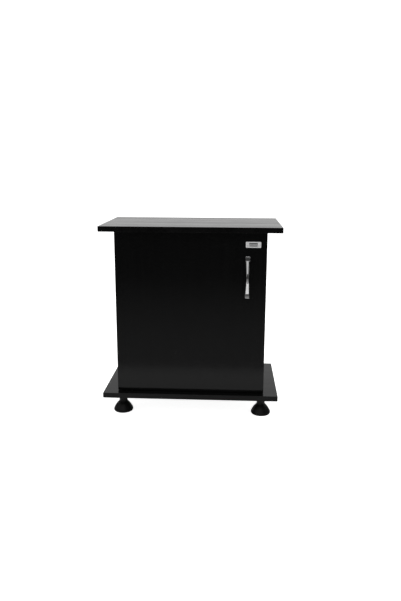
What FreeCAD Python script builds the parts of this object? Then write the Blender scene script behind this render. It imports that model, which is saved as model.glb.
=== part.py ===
"""Aquarium stand cabinet, in millimetres.

The frame stands on z = 0, centred on x = 0 and y = 0, with the door facing -Y and +X to the right.
A base board and a top board of the same size carry two side panels, a back panel, a stretcher and a
shelf between them.  One door covers the whole front and turns on pivot pins at its left edge.
"""
import FreeCAD, Part
import math
import os

import Sketcher
from FreeCAD import Placement, Rotation, Vector

DIMENSIONS = {
    # boards and carcass
    "board_width": 600,
    "board_depth": 350,
    "board_thickness": 18,
    "edging": 1,
    "body_width": 504,
    "body_height": 555,
    "body_rear_inset": 5,
    "back_thickness": 4,
    "rebate_width": 9,
    "back_play": 0.5,
    "back_screw_first": 40,
    "back_screw_pitch": 158,
    "stretcher_height": 100,
    "stretcher_screw_pitch": 120,
    "stretcher_screw_drop": 20,
    "stretcher_dowel_rise": 30,
    # door
    "door_width": 504,
    "door_gap": 2,
    "door_setback": 28,
    "door_clearance": 3,
    # door pivots
    "pivot_edge": 8,
    "pivot_face": 6.5,
    "pivot_radius": 3,
    "pivot_plate_length": 55,
    "pivot_plate_width": 11,
    "pivot_plate_thickness": 2.5,
    "pivot_plate_lead": 0.5,
    "pivot_tip_play": 2,
    "plate_screw_first": 21,
    "plate_screw_second": 40,
    "pivot_root_share": 0.2,
    "bush_radius": 5,
    "bush_flange_radius": 7,
    "bush_flange": 1.7,
    "bush_length": 11,
    # shelf and its pins
    "shelf_front": 16,
    "shelf_rear": 6,
    "shelf_play": 1,
    "pin_hole_depth": 12,
    "pin_radius": 2.5,
    "pin_reach": 9,
    "pin_collar_radius": 4,
    "pin_collar": 0.8,
    "pin_end_play": 3,
    "pin_steps": 7,
    "pin_pitch": 32,
    "pin_first": 200,
    "pin_front": 41,
    "pin_rear": 46,
    # knock-down fittings
    "connector_front": 46,
    "connector_rear": 30,
    "dowel_front": 78,
    "dowel_rear": 90,
    "dowel_radius": 4,
    "dowel_short": 10,
    "dowel_long": 20,
    "dowel_chamfer": 1,
    "cam_radius": 7.5,
    "cam_depth": 12.5,
    "cam_offset": 34,
    "bolt_radius": 2.5,
    "bolt_thread_radius": 3,
    "bolt_head_radius": 3.3,
    "bolt_thread": 11,
    "bolt_head": 5,
    "bolt_shoulder": 1,
    "cam_channel_play": 0.5,
    "cam_slot": 9,
    "cam_slot_width": 1.6,
    "cam_slot_depth": 2,
    # feet
    "foot_height": 67,
    "foot_setback": 60,
    "foot_shift": 3,
    "foot_neck_radius": 14,
    "foot_neck_start": 38,
    "foot_neck_curve": 22,
    "foot_bell_radius": 33.4,
    "foot_bell_start": 8.4,
    "foot_shoulder_radius": 21,
    "foot_shoulder_start": 29,
    "foot_bell_curve": 85,
    "foot_rim_radius": 34.1,
    "foot_rim_round": 1.9,
    "foot_rim_step": 0.6,
    "foot_wall": 4,
    "foot_head": 12,
    "foot_pad_thickness": 3,
    "foot_pad_radius": 32.5,
    "foot_pad_chamfer": 1,
    "foot_lip_thickness": 3,
    "foot_lip_bore": 24,
    "foot_bolt_radius": 4,
    "foot_bolt_reach": 24,
    "foot_bolt_head": 5.3,
    "foot_bolt_head_radius": 6.4,
    "foot_bolt_chamfer": 0.8,
    "foot_bolt_socket": 3.4,
    "foot_bolt_socket_depth": 3.5,
    "insert_radius": 6,
    "insert_length": 13,
    # handle and label plate
    "handle_inset": 63,
    "handle_centre": 491,
    "handle_pitch": 124,
    "handle_reach": 24,
    "handle_end_reach": 1.4,
    "handle_flat": 15,
    "handle_blend": 7,
    "handle_waist_width": 8.8,
    "handle_end_width": 12.6,
    "handle_thickness": 5,
    "handle_pad_width": 15,
    "handle_pad_height": 16,
    "handle_pad_depth": 7.5,
    "handle_pad_round": 1.7,
    "handle_screw_radius": 2,
    "handle_screw_bite": 5,
    "plate_width": 49.6,
    "plate_height": 19.2,
    "plate_thickness": 2,
    "plate_border": 2.6,
    "plate_insert_share": 0.55,
    "plate_corner": 2,
    "plate_inner_corner": 1,
    "plate_inset": 45.4,
    "plate_centre": 599.3,
    # hose port
    "port_width": 140,
    "port_height": 60,
    "port_radius": 20,
    "port_centre": 478,
    "port_cut_lead": 3,
    "trim_wall": 2.5,
    "trim_flange": 6,
    "trim_lip": 1.5,
    # catch and bumpers
    "catch_drop": 45,
    "catch_width": 12,
    "catch_depth": 34,
    "catch_height": 16,
    "catch_proud": 0.5,
    "catch_slot_width": 8,
    "catch_slot_height": 12,
    "catch_slot_depth": 20,
    "catch_screw_pitch": 9,
    "catch_screw_inset": 7,
    "magnet_inset": 1,
    "pole_thickness": 1.5,
    "pole_play": 0.1,
    "pole_proud": 1.2,
    "strike_thickness": 1.2,
    "strike_height": 30,
    "bumper_radius": 4,
    "bumper_inset": 30,
    "bumper_clearance": 0.2,
    "bumper_chamfer": 1,
    "bumper_shift": 1,
    # holes and recesses
    "fit_gap": 0.05,
    "hole_end": 0.5,
    "pilot_radius": 1.55,
    "pilot_short": 12.5,
    "pilot_long": 22.5,
    "pilot_catch": 10,
    "sink_flare": 1.5,
    "sink_depth": 1.7,
    "strike_sink_flare": 0.35,
    "strike_sink_depth": 1,
    "clearance_play": 0.25,
}

doc = FreeCAD.newDocument("AquariumStand")
sheet = doc.addObject("Spreadsheet::Sheet", "Sizes")
for row, (alias, value) in enumerate(DIMENSIONS.items(), start=1):
    sheet.set(f"A{row}", alias)
    sheet.set(f"B{row}", str(value))
    sheet.setAlias(f"B{row}", alias)
doc.recompute()


# ---------------------------------------------------------------- sizes that keep their expression

class Size:
    """A number together with the spreadsheet expression that it comes from."""

    def __init__(self, text, number):
        self.text = text
        self.number = number

    def __add__(self, other):
        return Size(f"({self.text} + {text_of(other)})", self.number + number_of(other))

    def __sub__(self, other):
        return Size(f"({self.text} - {text_of(other)})", self.number - number_of(other))

    def __mul__(self, factor):
        return Size(f"({self.text} * {text_of(factor)})", self.number * number_of(factor))

    def __truediv__(self, divisor):
        return Size(f"({self.text} / {text_of(divisor)})", self.number / number_of(divisor))

    def __neg__(self):
        return Size(f"(0 - {self.text})", -self.number)


def number_of(value):
    return value.number if isinstance(value, Size) else float(value)


def text_of(value):
    return value.text if isinstance(value, Size) else f"({float(value)})"


def cell(alias):
    return Size(f"Sizes.{alias}", float(sheet.get(alias)))


def bind(obj, name, value):
    """Sets a property, and ties it to the sheet when the value comes from there."""
    if isinstance(value, Size):
        obj.setExpression(name, value.text)
    else:
        setattr(obj, name, value)


DIRECTIONS = {
    "+X": Vector(1, 0, 0),
    "-X": Vector(-1, 0, 0),
    "+Y": Vector(0, 1, 0),
    "-Y": Vector(0, -1, 0),
    "+Z": Vector(0, 0, 1),
    "-Z": Vector(0, 0, -1),
}


def place(obj, at, direction="+Z", across=None):
    """Puts obj at a point with its own +Z along direction and, if given, its own +X along across."""
    if across is None:
        rotation = Rotation(Vector(0, 0, 1), DIRECTIONS[direction])
    else:
        x_axis = DIRECTIONS[across]
        z_axis = DIRECTIONS[direction]
        rotation = Rotation(x_axis, z_axis.cross(x_axis), z_axis, "ZXY")
    obj.Placement = Placement(Vector(*[number_of(v) for v in at]), rotation)
    for axis, value in zip("xyz", at):
        if isinstance(value, Size):
            obj.setExpression(f"Placement.Base.{axis}", value.text)


# ---------------------------------------------------------------- driving planes and places

width = cell("board_width")
depth = cell("board_depth")
board = cell("board_thickness")
edge = cell("edging")
fit = cell("fit_gap")
end_gap = cell("hole_end")
pilot = cell("pilot_radius")
pilot_short = cell("pilot_short")
pilot_long = cell("pilot_long")

base_bottom = cell("foot_height")
base_top = base_bottom + board
roof = base_top + cell("body_height")
front = -(depth / 2)
rear = depth / 2
door_front = front + cell("door_setback")
door_rear = door_front + board
body_front = door_rear + cell("door_clearance")
body_rear = rear - cell("body_rear_inset")
side_out = cell("body_width") / 2
side_in = side_out - board
side_mid = side_out - board / 2
back_front = body_rear - cell("back_thickness")
stretcher_front = back_front - board
stretcher_mid = back_front - board / 2
stretcher_bottom = roof - cell("stretcher_height")
stretcher_centre = roof - cell("stretcher_height") / 2
connector_rows = (body_front + cell("connector_front"), body_rear - cell("connector_rear"))
dowel_rows = (body_front + cell("dowel_front"), body_rear - cell("dowel_rear"))
cam_offset = cell("cam_offset")

door_half = cell("door_width") / 2
door_bottom = base_top + cell("door_gap")
door_top = roof - cell("door_gap")
pivot_x = cell("pivot_edge") - door_half
pivot_y = door_front + cell("pivot_face")
handle_x = door_half - cell("handle_inset")
handle_z = cell("handle_centre")

NODES = []


def node(obj, label):
    """Marks obj as one piece of the stand, under the name of its file."""
    obj.Label = label
    NODES.append(obj)
    return obj


# ---------------------------------------------------------------- primitives and booleans

def block(name, low, size):
    obj = doc.addObject("Part::Box", name)
    for side, value in zip(("Length", "Width", "Height"), size):
        bind(obj, side, value)
    place(obj, low)
    return obj


def rod(name, at, direction, radius, length):
    obj = doc.addObject("Part::Cylinder", name)
    bind(obj, "Radius", radius)
    bind(obj, "Height", length)
    place(obj, at, direction)
    return obj


def cone(name, at, direction, radius, tip_radius, length):
    obj = doc.addObject("Part::Cone", name)
    bind(obj, "Radius1", radius)
    bind(obj, "Radius2", tip_radius)
    bind(obj, "Height", length)
    place(obj, at, direction)
    return obj


def fuse(name, shapes):
    obj = doc.addObject("Part::MultiFuse", name)
    obj.Shapes = shapes
    return obj


def cut(name, base, tools):
    obj = doc.addObject("Part::Cut", name)
    obj.Base = base
    obj.Tool = tools[0] if len(tools) == 1 else fuse(f"{name}_tools", tools)
    return obj


def group(label, prototype, places):
    """One node of identical pieces: a copy of prototype at each (point, direction, across)."""
    copies = []
    for index, (at, *turn) in enumerate(places, start=1):
        copy = doc.addObject("App::Link", f"{label}_{index}")
        copy.LinkedObject = prototype
        copy.LinkTransform = False
        place(copy, at, *turn)
        copies.append(copy)
    together = doc.addObject("Part::Compound", f"{label}_group")
    together.Links = copies
    return node(together, label)


# ---------------------------------------------------------------- sketched pieces

def arc_centre(start, end, radius, side):
    """Centre of the arc from start to end; side +1 keeps it left of the chord, -1 right."""
    chord = end.sub(start)
    middle = start.add(end).multiply(0.5)
    height = math.sqrt(max(radius ** 2 - (chord.Length / 2) ** 2, 0))
    normal = Vector(-chord.y, chord.x, 0).normalize()
    return middle.add(normal.multiply(height * side))


def draw(sketch, outline):
    """Closed outline of (x, y) or (x, y, radius, side) vertices; the latter start an arc."""
    first = sketch.GeometryCount
    points = [Vector(number_of(v[0]), number_of(v[1]), 0) for v in outline]
    starts = []
    for index, vertex in enumerate(outline):
        start = points[index]
        end = points[(index + 1) % len(points)]
        if len(vertex) == 2:
            sketch.addGeometry(Part.LineSegment(start, end))
            starts.append((1, 2))
            continue
        radius, side = vertex[2], vertex[3]
        centre = arc_centre(start, end, number_of(radius), side)
        circle = Part.Circle(centre, Vector(0, 0, 1), number_of(radius))
        angles = [math.atan2(p.y - centre.y, p.x - centre.x) for p in (start, end)]
        if side < 0:
            angles.reverse()
        sketch.addGeometry(Part.ArcOfCircle(circle, *angles))
        starts.append((1, 2) if side > 0 else (2, 1))
    count = len(outline)
    for index in range(count):
        follower = (index + 1) % count
        ends = (first + index, starts[index][1], first + follower, starts[follower][0])
        sketch.addConstraint(Sketcher.Constraint("Coincident", *ends))
    for index, vertex in enumerate(outline):
        piece = first + index
        for kind, axis, value in (("DistanceX", -2, vertex[0]), ("DistanceY", -1, vertex[1])):
            if abs(number_of(value)) < 1e-9:
                on_axis = Sketcher.Constraint("PointOnObject", piece, starts[index][0], axis)
                sketch.addConstraint(on_axis)
                continue
            tie = Sketcher.Constraint(kind, -1, 1, piece, starts[index][0], number_of(value))
            constraint = sketch.addConstraint(tie)
            if isinstance(value, Size):
                sketch.setExpression(f"Constraints[{constraint}]", value.text)
        if len(vertex) == 4:
            size = number_of(vertex[2])
            constraint = sketch.addConstraint(Sketcher.Constraint("Radius", piece, size))
            if isinstance(vertex[2], Size):
                sketch.setExpression(f"Constraints[{constraint}]", vertex[2].text)


def rounded_rectangle(across, high, radius):
    """Outline about the origin, anticlockwise, with a quarter circle at each corner."""
    x, y = across / 2, high / 2
    outline = []
    for sx, sy in ((1, -1), (1, 1), (-1, 1), (-1, -1)):
        corner_x, corner_y = x * sx, y * sy
        inner_x, inner_y = (x - radius) * sx, (y - radius) * sy
        if sx * sy < 0:
            outline += [(inner_x, corner_y, radius, 1), (corner_x, inner_y)]
        else:
            outline += [(corner_x, inner_y, radius, 1), (inner_x, corner_y)]
    return outline


def new_body(name):
    return doc.addObject("PartDesign::Body", name)


def sketch_on(body, name, role, outlines, offset=None):
    sketch = body.newObject("Sketcher::SketchObject", name)
    support = [f for f in body.Origin.OriginFeatures if f.Role == role][0]
    sketch.AttachmentSupport = [(support, "")]
    sketch.MapMode = "FlatFace"
    if offset is not None:
        sketch.setExpression("AttachmentOffset.Base.z", text_of(offset))
    for outline in outlines:
        draw(sketch, outline)
    return sketch


def turned(name, outline):
    """A body turned about its own Z axis from (radius, height) points."""
    body = new_body(name)
    sketch = sketch_on(body, f"{name}_profile", "XZ_Plane", [outline])
    turn = body.newObject("PartDesign::Revolution", f"{name}_turn")
    turn.Profile = sketch
    turn.ReferenceAxis = (sketch, ["V_Axis"])
    turn.Angle = 360
    return body


def padded(name, outlines, length):
    """A body with the outlines drawn on XY and padded up; an outline inside another is a hole."""
    body = new_body(name)
    sketch = sketch_on(body, f"{name}_outline", "XY_Plane", outlines)
    pad = body.newObject("PartDesign::Pad", f"{name}_pad")
    pad.Profile = sketch
    bind(pad, "Length", length)
    return body


SCREWS = {
    # head radius, head height, shank radius, length, width of the recess
    "back_screw": (3.5, 2, 1.5, 16, 4),
    "plate_screw": (3, 1.6, 1.5, 22, 3.2),
    "handle_screw": (4, 2.4, 2, 22.5, 5),
    "catch_screw": (2.8, 1.8, 1.5, 20, 3.4),
    "strike_screw": (3, 1, 1.5, 13, 3),
}


def screw(name, countersunk=False):
    """A screw with its own +Z into the material, its head's seat at z = 0 and a crossed recess.

    A countersunk head lies below z = 0 instead of standing proud of it.
    """
    head_radius, head_height, radius, length, slot = SCREWS[name]
    if countersunk:
        outline = [(0, 0), (head_radius, 0), (radius, head_height), (radius, length), (0, length)]
        top = Size("(0)", 0.0)
    else:
        dome = head_radius * 0.75
        outline = [(0, -head_height), (dome, -head_height), (head_radius, -head_height / 2)]
        outline += [(head_radius, 0), (radius, 0), (radius, length), (0, length)]
        top = Size(f"(0 - {head_height})", -head_height)
    body = turned(f"{name}_blank", outline)
    deep = head_height * 0.7
    thin = slot / 4
    bars = [
        block(f"{name}_bar_a", (-slot / 2, -thin / 2, top), (slot, thin, deep)),
        block(f"{name}_bar_b", (-thin / 2, -slot / 2, top), (thin, slot, deep)),
    ]
    return cut(name, body, bars)


# ---------------------------------------------------------------- boards

def edged_board(label, low, size, flat_axis, drills):
    """A board core and the ring of edge band around it; flat_axis is across its thickness."""
    inner_low = []
    inner_size = []
    for axis in range(3):
        if axis == flat_axis:
            inner_low.append(low[axis])
            inner_size.append(size[axis])
        else:
            inner_low.append(low[axis] + edge)
            inner_size.append(size[axis] - edge * 2)
    whole = block(f"{label}_whole", low, size)
    ring = cut(f"{label}_ring", whole, [block(f"{label}_window", inner_low, inner_size)])
    core = block(f"{label}_core", inner_low, inner_size)
    if not drills:
        node(core, label)
        return node(ring, f"{label}_edging")
    tools = fuse(f"{label}_holes", drills)
    node(cut(f"{label}_drilled", core, [tools]), label)
    return node(cut(f"{label}_edging_drilled", ring, [tools]), f"{label}_edging")


def arrow(axis, sign):
    return ("+" if sign > 0 else "-") + axis


def fixing_drills(name, side, surface, into, in_board):
    """Holes for one corner's cam bolts and dowels, in the board or in the side panel."""
    toward = arrow("Z", -into if in_board else into)
    bolt_radius = cell("bolt_thread_radius") if in_board else cell("bolt_head_radius")
    bolt_depth = cell("bolt_thread") if in_board else cam_offset
    dowel_depth = cell("dowel_short") if in_board else cell("dowel_long")
    drills = []
    for index, y in enumerate(connector_rows):
        at = (side_mid * side, y, surface)
        drills.append(rod(f"{name}_bolt{index}", at, toward, bolt_radius + fit, bolt_depth + end_gap))
    for index, y in enumerate(dowel_rows):
        at = (side_mid * side, y, surface)
        radius = cell("dowel_radius") + fit
        drills.append(rod(f"{name}_dowel{index}", at, toward, radius, dowel_depth + end_gap))
    return drills


def foot_places():
    for side_name, side in (("left", -1), ("right", 1)):
        for end_name, end in (("front", -1), ("rear", 1)):
            x = side_mid * side + cell("foot_shift")
            y = (depth / 2 - cell("foot_setback")) * end
            yield f"{end_name}_{side_name}", x, y


def make_boards():
    size = (width, depth, board)
    for label, low, surface, into in (
        ("base_board", base_bottom, base_top, 1),
        ("top_board", roof, roof, -1),
    ):
        drills = []
        for side in (-1, 1):
            name = f"{label}_fix{'R' if side > 0 else 'L'}"
            drills += fixing_drills(name, side, surface, into, True)
        away = arrow("Z", -into)
        bush_at = (pivot_x, pivot_y, surface)
        bush_hole = cell("bush_radius") + fit
        drills.append(rod(f"{label}_bush", bush_at, away, bush_hole, cell("bush_length") + end_gap))
        if into > 0:
            for name, x, y in foot_places():
                at = (x, y, base_bottom)
                radius = cell("insert_radius") + fit
                drills.append(rod(f"insert_{name}", at, "+Z", radius, cell("insert_length")))
        edged_board(label, (-(width / 2), front, low), size, 2, drills)


def make_side_panels():
    core_front = body_front + edge
    for name, side in (("left", -1), ("right", 1)):
        low_x = side_in if side > 0 else -side_out
        inward = arrow("X", -side)
        panel_size = (board, body_rear - core_front, cell("body_height"))
        panel = block(f"panel_{name}", (low_x, core_front, base_top), panel_size)
        rebate_x = side_in if side > 0 else -(side_in + cell("rebate_width"))
        rebate_size = (cell("rebate_width"), cell("back_thickness"), cell("body_height"))
        drills = [block(f"rebate_{name}", (rebate_x, back_front, base_top), rebate_size)]
        for surface, into in ((base_top, 1), (roof, -1)):
            tag = f"{name}_{'low' if into > 0 else 'high'}"
            drills += fixing_drills(tag, side, surface, into, False)
            for index, y in enumerate(connector_rows):
                at = (side_in * side, y, surface + cam_offset * into)
                radius = cell("cam_radius") + fit
                deep = cell("cam_depth") + end_gap
                drills.append(rod(f"cam_{tag}{index}", at, arrow("X", side), radius, deep))
        for column, y in enumerate(shelf_pin_rows()):
            for step in range(int(cell("pin_steps").number)):
                at = (side_in * side, y, shelf_pin_height(step))
                hole = cell("pin_radius") + fit
                tag = f"pin_{name}_{column}_{step}"
                drills.append(rod(tag, at, arrow("X", side), hole, cell("pin_hole_depth")))
        at = (side_in * side, stretcher_mid, stretcher_centre)
        thread = cell("bolt_thread_radius") + fit
        deep = cell("bolt_thread") + end_gap
        drills.append(rod(f"tie_{name}", at, arrow("X", side), thread, deep))
        for index, z in enumerate(stretcher_dowel_heights()):
            at = (side_in * side, stretcher_mid, z)
            radius = cell("dowel_radius") + fit
            length = cell("dowel_short") + end_gap
            drills.append(rod(f"tie_dowel_{name}{index}", at, arrow("X", side), radius, length))
        for index, z in enumerate(back_screw_heights()):
            at = (back_screw_x() * side, back_front, z)
            drills.append(rod(f"back_hole_{name}{index}", at, "-Y", pilot, pilot_short))
        if side > 0:
            for index, z in enumerate(catch_screw_heights()):
                at = (side_in, catch_screw_y(), z)
                drills.append(rod(f"catch_hole{index}", at, "+X", pilot, cell("pilot_catch")))
        node(cut(f"panel_{name}_drilled", panel, drills), f"side_panel_{name}")
        strip = block(
            f"strip_{name}", (low_x, body_front, base_top), (board, edge, cell("body_height"))
        )
        node(strip, f"side_panel_{name}_edging")


# ---------------------------------------------------------------- back, stretcher and shelf

def back_screw_heights():
    first = base_top + cell("back_screw_first")
    return [first + cell("back_screw_pitch") * step for step in range(4)]


def back_screw_x():
    return side_in + cell("rebate_width") / 2


def stretcher_screw_places():
    z = roof - cell("stretcher_screw_drop")
    return [(cell("stretcher_screw_pitch") * step, z) for step in (-1, 0, 1)]


def stretcher_dowel_heights():
    rise = cell("stretcher_dowel_rise")
    return (stretcher_centre - rise, stretcher_centre + rise)


def make_back():
    half = side_in + cell("rebate_width") - cell("back_play")
    low = base_top + cell("back_play")
    high = roof - cell("back_play")
    panel = block(
        "back_blank", (-half, back_front, low), (half * 2, cell("back_thickness"), high - low)
    )
    opening = padded(
        "port_cutter",
        [rounded_rectangle(cell("port_width"), cell("port_height"), cell("port_radius"))],
        cell("rebate_width"),
    )
    place(opening, (0, body_rear + cell("port_cut_lead"), cell("port_centre")), "-Y", "+X")
    drills = [opening]
    for side in (-1, 1):
        for index, z in enumerate(back_screw_heights()):
            at = (back_screw_x() * side, body_rear, z)
            tag = f"back_clear{side + 1}_{index}"
            drills.append(rod(tag, at, "-Y", pilot, cell("back_thickness")))
    for index, (x, z) in enumerate(stretcher_screw_places()):
        at = (x, body_rear, z)
        drills.append(rod(f"back_clear_mid{index}", at, "-Y", pilot, cell("back_thickness")))
    node(cut("back_cut", panel, drills), "back_panel")

    outer = cell("port_width") - fit * 2
    outer_high = cell("port_height") - fit * 2
    wall = cell("trim_wall")
    sleeve = [
        rounded_rectangle(outer, outer_high, cell("port_radius") - fit),
        rounded_rectangle(outer - wall * 2, outer_high - wall * 2, cell("port_radius") - wall),
    ]
    lip = cell("trim_flange")
    radius = cell("port_radius")
    flange = [
        rounded_rectangle(outer + lip * 2, outer_high + lip * 2, radius + lip),
        rounded_rectangle(outer - wall * 2, outer_high - wall * 2, radius - wall),
    ]
    trim = new_body("trim")
    for name, outlines, length, reverse in (
        ("trim_flange", flange, cell("trim_lip"), False),
        ("trim_sleeve", sleeve, cell("back_thickness") + cell("trim_lip"), True),
    ):
        pad = trim.newObject("PartDesign::Pad", name)
        pad.Profile = sketch_on(trim, f"{name}_outline", "XY_Plane", outlines)
        bind(pad, "Length", length)
        pad.Reversed = reverse
    place(trim, (0, body_rear, cell("port_centre")), "+Y", "-X")
    node(trim, "hose_port_trim")


def make_stretcher():
    low = (-side_in, stretcher_front, stretcher_bottom)
    rail = block("rail", low, (side_in * 2, board, cell("stretcher_height")))
    drills = []
    for side in (-1, 1):
        into = arrow("X", -side)
        at = (side_in * side, stretcher_mid, stretcher_centre)
        head = cell("bolt_head_radius") + fit
        drills.append(rod(f"rail_bolt{side + 1}", at, into, head, cam_offset + end_gap))
        cam_at = ((side_in - cam_offset) * side, stretcher_front, stretcher_centre)
        radius = cell("cam_radius") + fit
        deep = cell("cam_depth") + end_gap
        drills.append(rod(f"rail_cam{side + 1}", cam_at, "+Y", radius, deep))
        for index, z in enumerate(stretcher_dowel_heights()):
            at = (side_in * side, stretcher_mid, z)
            peg = cell("dowel_radius") + fit
            tag = f"rail_dowel{side + 1}_{index}"
            drills.append(rod(tag, at, into, peg, cell("dowel_long") + end_gap))
    for index, (x, z) in enumerate(stretcher_screw_places()):
        at = (x, back_front, z)
        drills.append(rod(f"rail_screw{index}", at, "-Y", pilot, pilot_short))
    node(cut("rail_drilled", rail, drills), "rear_stretcher")


def shelf_pin_rows():
    return (body_front + cell("pin_front"), body_rear - cell("pin_rear"))


def shelf_pin_height(step):
    return base_top + cell("pin_first") + cell("pin_pitch") * step


SHELF_STEP = 2


def make_shelf():
    half = side_in - cell("shelf_play")
    shelf_bottom = shelf_pin_height(SHELF_STEP) + cell("pin_radius")
    shelf_start = body_front + cell("shelf_front")
    shelf_end = back_front - cell("shelf_rear")
    size = (half * 2, shelf_end - shelf_start - edge, board)
    node(block("shelf_core", (-half, shelf_start + edge, shelf_bottom), size), "shelf")
    strip_size = (half * 2, edge, board)
    node(block("shelf_strip", (-half, shelf_start, shelf_bottom), strip_size), "shelf_edging")

    peg = cell("pin_radius")
    collar = cell("pin_collar_radius")
    inside = -(cell("pin_hole_depth") - cell("pin_end_play"))
    thick = cell("pin_collar")
    outline = [(0, inside), (peg, inside), (peg, 0), (collar, 0), (collar, thick)]
    outline += [(peg, thick), (peg, cell("pin_reach")), (0, cell("pin_reach"))]
    pin = turned("shelf_pin", outline)
    places = []
    for side in (-1, 1):
        for y in shelf_pin_rows():
            at = (side_in * side, y, shelf_pin_height(SHELF_STEP))
            places.append((at, arrow("X", -side)))
    group("shelf_pins", pin, places)


# ---------------------------------------------------------------- knock-down fittings

def make_fittings():
    thread = cell("bolt_thread_radius")
    shank = cell("bolt_radius")
    head = cell("bolt_head_radius")
    neck = cam_offset - cell("bolt_head")
    outline = [(0, -cell("bolt_thread")), (thread, -cell("bolt_thread")), (thread, 0)]
    shoulder = neck + cell("bolt_shoulder")
    outline += [(shank, 0), (shank, neck), (head, shoulder), (head, cam_offset), (0, cam_offset)]
    bolt = turned("cam_bolt", outline)

    cam_radius = cell("cam_radius")
    cam_blank = turned(
        "cam_blank",
        [(0, -cell("cam_depth")), (cam_radius, -cell("cam_depth")), (cam_radius, 0), (0, 0)],
    )
    channel_radius = head + cell("cam_channel_play")
    channel_at = (-cam_radius, 0, -(board / 2))
    channel = rod("cam_channel", channel_at, "+X", channel_radius, cam_radius * 2)
    relief_low = (-cam_radius, -channel_radius, -cell("cam_depth"))
    relief_size = (cam_radius * 2, channel_radius * 2, cell("cam_depth") - board / 2)
    slot = cell("cam_slot")
    thin = cell("cam_slot_width")
    deep = cell("cam_slot_depth")
    bars = [
        block("cam_bar_a", (-(slot / 2), -(thin / 2), -deep), (slot, thin, deep)),
        block("cam_bar_b", (-(thin / 2), -(slot / 2), -deep), (thin, slot, deep)),
    ]
    cam = cut("cam", cam_blank, [channel, block("cam_relief", relief_low, relief_size)] + bars)

    peg = cell("dowel_radius")
    short = cell("dowel_short")
    long = cell("dowel_long")
    bevel = cell("dowel_chamfer")
    tip = peg - bevel
    outline = [(0, -short), (tip, -short), (peg, bevel - short), (peg, long - bevel)]
    outline += [(tip, long), (0, long)]
    dowel = turned("dowel", outline)

    bolts = []
    cams = []
    dowels = []
    for side in (-1, 1):
        inward = arrow("X", -side)
        for surface, into in ((base_top, 1), (roof, -1)):
            up = arrow("Z", into)
            for y in connector_rows:
                bolts.append(((side_mid * side, y, surface), up))
                cams.append(((side_in * side, y, surface + cam_offset * into), inward, up))
            for y in dowel_rows:
                dowels.append(((side_mid * side, y, surface), up))
        bolts.append(((side_in * side, stretcher_mid, stretcher_centre), inward))
        cam_x = (side_in - cam_offset) * side
        cams.append(((cam_x, stretcher_front, stretcher_centre), "-Y", inward))
        for z in stretcher_dowel_heights():
            dowels.append(((side_in * side, stretcher_mid, z), inward))
    group("cam_bolts", bolt, bolts)
    group("cam_housings", cam, cams)
    group("dowels", dowel, dowels)

    back_screw = screw("back_screw")
    places = [
        ((back_screw_x() * side, body_rear, z), "-Y")
        for side in (-1, 1)
        for z in back_screw_heights()
    ]
    places += [((x, body_rear, z), "-Y") for x, z in stretcher_screw_places()]
    group("back_panel_screws", back_screw, places)


# ---------------------------------------------------------------- door, pivots, handle and plate

def pivot_ends():
    """The door's two pivots: (name, door edge, board surface, sign away from the door)."""
    return (("upper", door_top, roof, 1), ("lower", door_bottom, base_top, -1))


def plate_screw_xs():
    return (pivot_x + cell("plate_screw_first"), pivot_x + cell("plate_screw_second"))


def handle_screw_heights():
    half = cell("handle_pitch") / 2
    return (handle_z - half, handle_z + half)


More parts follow.
